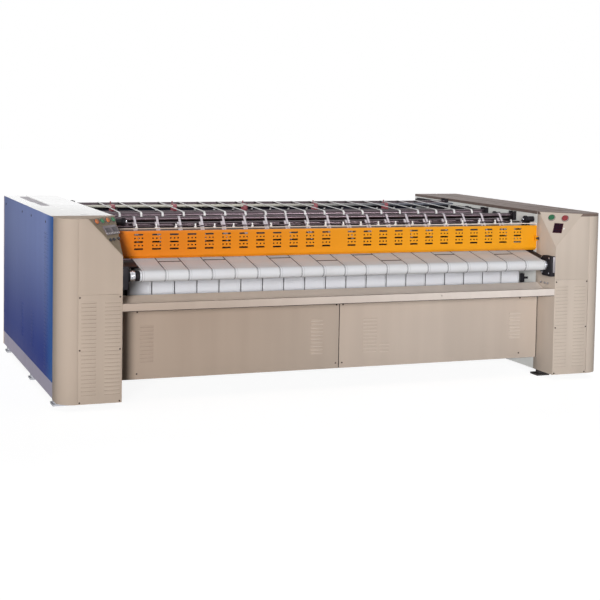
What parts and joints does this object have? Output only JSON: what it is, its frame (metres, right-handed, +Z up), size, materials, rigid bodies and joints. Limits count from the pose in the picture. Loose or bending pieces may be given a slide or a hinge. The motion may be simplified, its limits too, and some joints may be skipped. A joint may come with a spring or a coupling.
{
  "type": "flatwork ironer",
  "caption": "Two-roll flatwork ironer with belt feed table, slotted finger guard, guide tapes over the rolls, receiving tray and side cabinets with sloping control panels.",
  "frame": {"origin": "on the floor, in the middle of the footprint", "axes": "+X along the rolls to the operator's right, +Y from the feeding side to the back, +Z up"},
  "size_m": [4.23, 2.54, 1.29],
  "materials": {
    "beige_paint": "satin powder coat",
    "blue_paint": "satin powder coat",
    "plinth_grey": "matt",
    "orange_paint": "gloss paint",
    "taupe_paint": "satin",
    "wall_paint": "satin",
    "frame_steel": "matt",
    "roll_steel": "ground",
    "roller_steel": "turned",
    "chrome_steel": "polished",
    "black_iron": "painted black",
    "belt_cloth": "woven",
    "tape_cloth": "woven",
    "light_bar": "satin",
    "red_plastic": "gloss",
    "orange_plastic": "gloss",
    "green_plastic": "gloss",
    "black_plastic": "matt",
    "grey_plastic": "matt",
    "maroon_plastic": "gloss",
    "zinc_steel": "zinc plated"
  },
  "bodies": {
    "machine": {"base_frames": "frame_steel", "cross_beams": "frame_steel", "feet": "zinc_steel", "inner_walls": "wall_paint", "front_covers": "beige_paint", "louvre_panels": "beige_paint", "side_panels": "blue_paint", "plinths": "plinth_grey", "top_covers": "taupe_paint", "cabinet_backs": "beige_paint", "lower_front_panels": "beige_paint", "rear_panels": "blue_paint", "receiving_tray": "beige_paint", "roll_bearings": "black_iron", "belt_roller_bearings": "black_iron", "tape_roller_bearings": "black_iron", "feed_roller_brackets": "black_iron", "feed_belts": "belt_cloth", "ironing_belts": "belt_cloth", "front_tapes": "tape_cloth", "rear_tapes": "tape_cloth", "tape_crossbar": "light_bar", "tape_clamps": "red_plastic", "feed_bed": "zinc_steel", "gear_motor": "frame_steel", "drive_chain": "black_iron", "steam_pipes": "zinc_steel", "electric_box": "wall_paint", "tape_chain_case": "black_iron", "left_control_panel": "beige_paint", "right_control_panel": "beige_paint", "instrument_display": "grey_plastic", "meter_display": "maroon_plastic", "panel_screws": "zinc_steel"},
    "front_roll_body": {"front_roll": "roll_steel", "front_roll_sprocket": "black_iron"},
    "rear_roll_body": {"rear_roll": "roll_steel", "rear_roll_sprocket": "black_iron"},
    "feed_roller_body": {"feed_roller": "chrome_steel"},
    "feed_end_roller_body": {"feed_end_roller": "roller_steel"},
    "upper_front_roller_body": {"upper_front_roller": "roller_steel"},
    "lower_front_roller_body": {"lower_front_roller": "roller_steel"},
    "upper_rear_roller_body": {"upper_rear_roller": "roller_steel"},
    "lower_rear_roller_body": {"lower_rear_roller": "roller_steel"},
    "nip_tape_roller_body": {"nip_tape_roller": "roller_steel"},
    "front_tape_roller_body": {"front_tape_roller": "roller_steel"},
    "middle_tape_roller_body": {"middle_tape_roller": "roller_steel"},
    "rear_tape_roller_body": {"rear_tape_roller": "roller_steel"},
    "lower_tape_roller_body": {"lower_tape_roller": "roller_steel"},
    "finger_guard_body": {"finger_guard": "orange_paint"},
    "motor_sprocket_body": {"motor_sprocket": "black_iron"},
    "feed_button_body": {"feed_button": "orange_plastic"},
    "start_button_body": {"start_button": "green_plastic"},
    "raise_button_body": {"raise_button": "orange_plastic"},
    "reverse_button_body": {"reverse_button": "green_plastic"},
    "run_button_body": {"run_button": "green_plastic"},
    "stop_button_body": {"stop_button": "red_plastic"},
    "speed_knob_body": {"speed_knob": "black_plastic"},
    "pressure_knob_body": {"pressure_knob": "black_plastic"},
    "mode_knob_body": {"mode_knob": "black_plastic"}
  },
  "joints": [
    {"name": "front_roll_spin", "type": "hinge", "parent": "machine", "child": "front_roll_body", "pos_m": [0, -0.37, 0.76], "axis": [1, 0, 0], "continuous": true},
    {"name": "rear_roll_spin", "type": "hinge", "parent": "machine", "child": "rear_roll_body", "pos_m": [0, 0.51, 0.76], "axis": [1, 0, 0], "continuous": true},
    {"name": "motor_sprocket_spin", "type": "hinge", "parent": "machine", "child": "motor_sprocket_body", "pos_m": [0, 0.07, 0.33], "axis": [1, 0, 0], "continuous": true},
    {"name": "feed_roller_spin", "type": "hinge", "parent": "machine", "child": "feed_roller_body", "pos_m": [0, -1.18, 0.888], "axis": [1, 0, 0], "continuous": true},
    {"name": "feed_end_roller_spin", "type": "hinge", "parent": "machine", "child": "feed_end_roller_body", "pos_m": [0, -0.878, 0.944], "axis": [1, 0, 0], "continuous": true},
    {"name": "upper_front_roller_spin", "type": "hinge", "parent": "machine", "child": "upper_front_roller_body", "pos_m": [0, -0.7988, 0.96], "axis": [1, 0, 0], "continuous": true},
    {"name": "lower_front_roller_spin", "type": "hinge", "parent": "machine", "child": "lower_front_roller_body", "pos_m": [0, -0.7988, 0.3], "axis": [1, 0, 0], "continuous": true},
    {"name": "upper_rear_roller_spin", "type": "hinge", "parent": "machine", "child": "upper_rear_roller_body", "pos_m": [0, 0.9388, 0.96], "axis": [1, 0, 0], "continuous": true},
    {"name": "lower_rear_roller_spin", "type": "hinge", "parent": "machine", "child": "lower_rear_roller_body", "pos_m": [0, 0.9388, 0.3], "axis": [1, 0, 0], "continuous": true},
    {"name": "nip_tape_roller_spin", "type": "hinge", "parent": "machine", "child": "nip_tape_roller_body", "pos_m": [0, -0.73, 1.095], "axis": [1, 0, 0], "continuous": true},
    {"name": "front_tape_roller_spin", "type": "hinge", "parent": "machine", "child": "front_tape_roller_body", "pos_m": [0, -0.61, 1.23], "axis": [1, 0, 0], "continuous": true},
    {"name": "middle_tape_roller_spin", "type": "hinge", "parent": "machine", "child": "middle_tape_roller_body", "pos_m": [0, -0.13, 1.219], "axis": [1, 0, 0], "continuous": true},
    {"name": "rear_tape_roller_spin", "type": "hinge", "parent": "machine", "child": "rear_tape_roller_body", "pos_m": [0, 0.62, 1.244], "axis": [1, 0, 0], "continuous": true},
    {"name": "lower_tape_roller_spin", "type": "hinge", "parent": "machine", "child": "lower_tape_roller_body", "pos_m": [0, 0.69, 1.175], "axis": [1, 0, 0], "continuous": true},
    {"name": "guard_swing", "type": "hinge", "parent": "machine", "child": "finger_guard_body", "pos_m": [0, -0.963, 1.161], "axis": [1, 0, 0], "range_deg": [0, 5]},
    {"name": "feed_button_press", "type": "slide", "parent": "machine", "child": "feed_button_body", "axis": [-0.6137, 0.5455, -0.5708], "range_m": [0, 0.003], "stiffness_N_per_m": 800, "springref_m": -0.001},
    {"name": "start_button_press", "type": "slide", "parent": "machine", "child": "start_button_body", "axis": [-0.6137, 0.5455, -0.5708], "range_m": [0, 0.003], "stiffness_N_per_m": 800, "springref_m": -0.001},
    {"name": "raise_button_press", "type": "slide", "parent": "machine", "child": "raise_button_body", "axis": [-0.6137, 0.5455, -0.5708], "range_m": [0, 0.003], "stiffness_N_per_m": 800, "springref_m": -0.001},
    {"name": "reverse_button_press", "type": "slide", "parent": "machine", "child": "reverse_button_body", "axis": [-0.6137, 0.5455, -0.5708], "range_m": [0, 0.003], "stiffness_N_per_m": 800, "springref_m": -0.001},
    {"name": "run_button_press", "type": "slide", "parent": "machine", "child": "run_button_body", "axis": [0.6137, 0.5455, -0.5708], "range_m": [0, 0.003], "stiffness_N_per_m": 800, "springref_m": -0.001},
    {"name": "stop_button_press", "type": "slide", "parent": "machine", "child": "stop_button_body", "axis": [0.6137, 0.5455, -0.5708], "range_m": [0, 0.003], "stiffness_N_per_m": 800, "springref_m": -0.001},
    {"name": "speed_knob_turn", "type": "hinge", "parent": "machine", "child": "speed_knob_body", "pos_m": [-1.77316, -1.25318, 1.14284], "axis": [0.6137, -0.5455, 0.5708], "range_deg": [-60, 60]},
    {"name": "pressure_knob_turn", "type": "hinge", "parent": "machine", "child": "pressure_knob_body", "pos_m": [-1.74127, -1.21731, 1.14284], "axis": [0.6137, -0.5455, 0.5708], "range_deg": [-60, 60]},
    {"name": "mode_knob_turn", "type": "hinge", "parent": "machine", "child": "mode_knob_body", "pos_m": [-1.69875, -1.16947, 1.14284], "axis": [0.6137, -0.5455, 0.5708], "range_deg": [-60, 60]}
  ],
  "couplings": [
    {"joint": "rear_roll_spin", "follows": "front_roll_spin", "ratio": 1},
    {"joint": "motor_sprocket_spin", "follows": "front_roll_spin", "ratio": 2.5},
    {"joint": "feed_roller_spin", "follows": "front_roll_spin", "ratio": -10.395},
    {"joint": "feed_end_roller_spin", "follows": "front_roll_spin", "ratio": -10.395},
    {"joint": "upper_front_roller_spin", "follows": "front_roll_spin", "ratio": -13.167},
    {"joint": "lower_front_roller_spin", "follows": "front_roll_spin", "ratio": -13.167},
    {"joint": "upper_rear_roller_spin", "follows": "front_roll_spin", "ratio": -13.167},
    {"joint": "lower_rear_roller_spin", "follows": "front_roll_spin", "ratio": -13.167},
    {"joint": "nip_tape_roller_spin", "follows": "front_roll_spin", "ratio": 19.75},
    {"joint": "front_tape_roller_spin", "follows": "front_roll_spin", "ratio": 19.75},
    {"joint": "middle_tape_roller_spin", "follows": "front_roll_spin", "ratio": 14.63},
    {"joint": "rear_tape_roller_spin", "follows": "front_roll_spin", "ratio": 14.63},
    {"joint": "lower_tape_roller_spin", "follows": "front_roll_spin", "ratio": 19.75}
  ]
}
